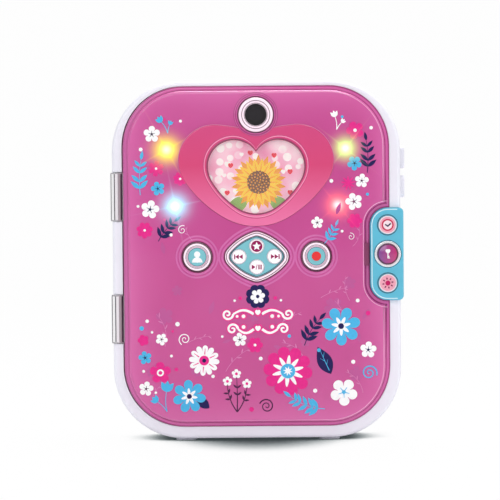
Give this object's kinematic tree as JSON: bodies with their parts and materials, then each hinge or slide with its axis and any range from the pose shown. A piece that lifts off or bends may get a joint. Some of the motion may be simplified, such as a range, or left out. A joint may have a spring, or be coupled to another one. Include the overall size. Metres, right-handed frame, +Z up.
{
  "type": "electronic secret diary",
  "caption": "Upright plastic secret diary with a hinged translucent door, heart window, camera lens, buttons and a side lock panel.",
  "frame": {"origin": "centre of the bounding box at its bottom, on the surface that the feet stand on", "axes": "+Z up, the door faces -Y, +X to the right as seen from the front"},
  "size_m": [0.1854, 0.0462, 0.226],
  "materials": {
    "white_shell": "moulded white ABS, satin gloss",
    "foot_rubber": "white rubber",
    "steel": "zinc plated steel",
    "inner_pink": "moulded pink ABS",
    "note_paper": "uncoated paper",
    "note_card": "printed card",
    "pen_purple": "moulded plastic",
    "pearl_trim": "pearl lacquered plastic",
    "white_button": "moulded plastic",
    "teal_button": "moulded plastic",
    "board_green": "printed circuit board with solder mask",
    "black_plastic": "moulded black plastic",
    "led_white": "LED package",
    "clear_plastic": "clear polycarbonate",
    "screen_glass": "dark glass",
    "flex_orange": "polyimide ribbon",
    "pink_button": "moulded plastic",
    "purple_button": "moulded plastic",
    "chrome_trim": "plated plastic",
    "lock_cyan": "moulded plastic",
    "latch_white": "moulded acetal",
    "battery_wrap": "cell sleeve",
    "door_pink": "glossy translucent tinted plastic",
    "heart_pink": "glossy translucent tinted plastic"
  },
  "bodies": {
    "case": {"batteries": "battery_wrap", "battery_box": "black_plastic", "battery_contacts": "steel", "board_chips": "black_plastic", "board_screws": "steel", "button_bezels": "pearl_trim", "camera_barrel": "black_plastic", "camera_optics": "screen_glass", "camera_ring": "pearl_trim", "camera_sensor": "black_plastic", "camera_window": "screen_glass", "case_screws": "steel", "feet": "foot_rubber", "front_frame": "white_shell", "hinge_pins": "steel", "inner_panel": "inner_pink", "keypad_bezel": "pearl_trim", "keypad_plate": "teal_button", "latch_solenoid": "black_plastic", "light_leds": "led_white", "light_pipes": "clear_plastic", "lock_back_plate": "white_shell", "lock_board": "board_green", "lock_panel": "lock_cyan", "lock_ring": "chrome_trim", "main_board": "board_green", "microphone": "black_plastic", "note_cover": "note_card", "note_pages": "note_paper", "pen_barrel": "pen_purple", "pen_cap": "white_button", "rear_shell": "white_shell", "screen_flex": "flex_orange", "screen_housing": "inner_pink", "screen_module": "screen_glass", "side_board": "board_green", "speaker": "black_plastic", "storage_tray": "inner_pink", "tact_switches": "black_plastic"},
    "door": {"door_shell": "door_pink", "heart_bezel": "heart_pink", "screen_lens": "clear_plastic", "hinge_clips": "clear_plastic", "clip_screws": "steel", "door_strike": "latch_white"},
    "battery_cover": {"battery_cover": "white_shell", "cover_screws": "steel"},
    "latch_bolt": {"latch_bolt": "latch_white"},
    "portrait_button": {"portrait_button": "teal_button"},
    "record_button": {"record_button": "teal_button"},
    "previous_button": {"previous_button": "white_button"},
    "star_button": {"star_button": "white_button"},
    "next_button": {"next_button": "white_button"},
    "play_button": {"play_button": "white_button"},
    "clock_button": {"clock_button": "pink_button"},
    "key_button": {"key_button": "purple_button"},
    "light_button": {"light_button": "pink_button"},
    "volume_up_button": {"volume_up_button": "white_shell"},
    "volume_down_button": {"volume_down_button": "white_shell"}
  },
  "joints": [
    {"name": "door_hinge", "type": "hinge", "parent": "case", "child": "door", "pos_m": [-0.089, -0.0146, 0.1155], "axis": [0, 0, -1], "range_deg": [0, 170]},
    {"name": "latch_slide", "type": "slide", "parent": "case", "child": "latch_bolt", "axis": [-1, 0, 0], "range_m": [0, 0.00575]},
    {"name": "battery_cover_off", "type": "slide", "parent": "case", "child": "battery_cover", "axis": [0, 1, 0], "range_m": [0, 0.025]},
    {"name": "portrait_button_press", "type": "slide", "parent": "case", "child": "portrait_button", "axis": [0, 1, 0], "range_m": [0, 0.0008], "stiffness_N_per_m": 400},
    {"name": "record_button_press", "type": "slide", "parent": "case", "child": "record_button", "axis": [0, 1, 0], "range_m": [0, 0.0008], "stiffness_N_per_m": 400},
    {"name": "previous_button_press", "type": "slide", "parent": "case", "child": "previous_button", "axis": [0, 1, 0], "range_m": [0, 0.0008], "stiffness_N_per_m": 400},
    {"name": "star_button_press", "type": "slide", "parent": "case", "child": "star_button", "axis": [0, 1, 0], "range_m": [0, 0.0008], "stiffness_N_per_m": 400},
    {"name": "next_button_press", "type": "slide", "parent": "case", "child": "next_button", "axis": [0, 1, 0], "range_m": [0, 0.0008], "stiffness_N_per_m": 400},
    {"name": "play_button_press", "type": "slide", "parent": "case", "child": "play_button", "axis": [0, 1, 0], "range_m": [0, 0.0008], "stiffness_N_per_m": 400},
    {"name": "clock_button_press", "type": "slide", "parent": "case", "child": "clock_button", "axis": [0, 1, 0], "range_m": [0, 0.0008], "stiffness_N_per_m": 400},
    {"name": "key_button_press", "type": "slide", "parent": "case", "child": "key_button", "axis": [0, 1, 0], "range_m": [0, 0.0008], "stiffness_N_per_m": 400},
    {"name": "light_button_press", "type": "slide", "parent": "case", "child": "light_button", "axis": [0, 1, 0], "range_m": [0, 0.0008], "stiffness_N_per_m": 400},
    {"name": "volume_up_button_press", "type": "slide", "parent": "case", "child": "volume_up_button", "axis": [-1, 0, 0], "range_m": [0, 0.0008], "stiffness_N_per_m": 400},
    {"name": "volume_down_button_press", "type": "slide", "parent": "case", "child": "volume_down_button", "axis": [-1, 0, 0], "range_m": [0, 0.0008], "stiffness_N_per_m": 400}
  ]
}
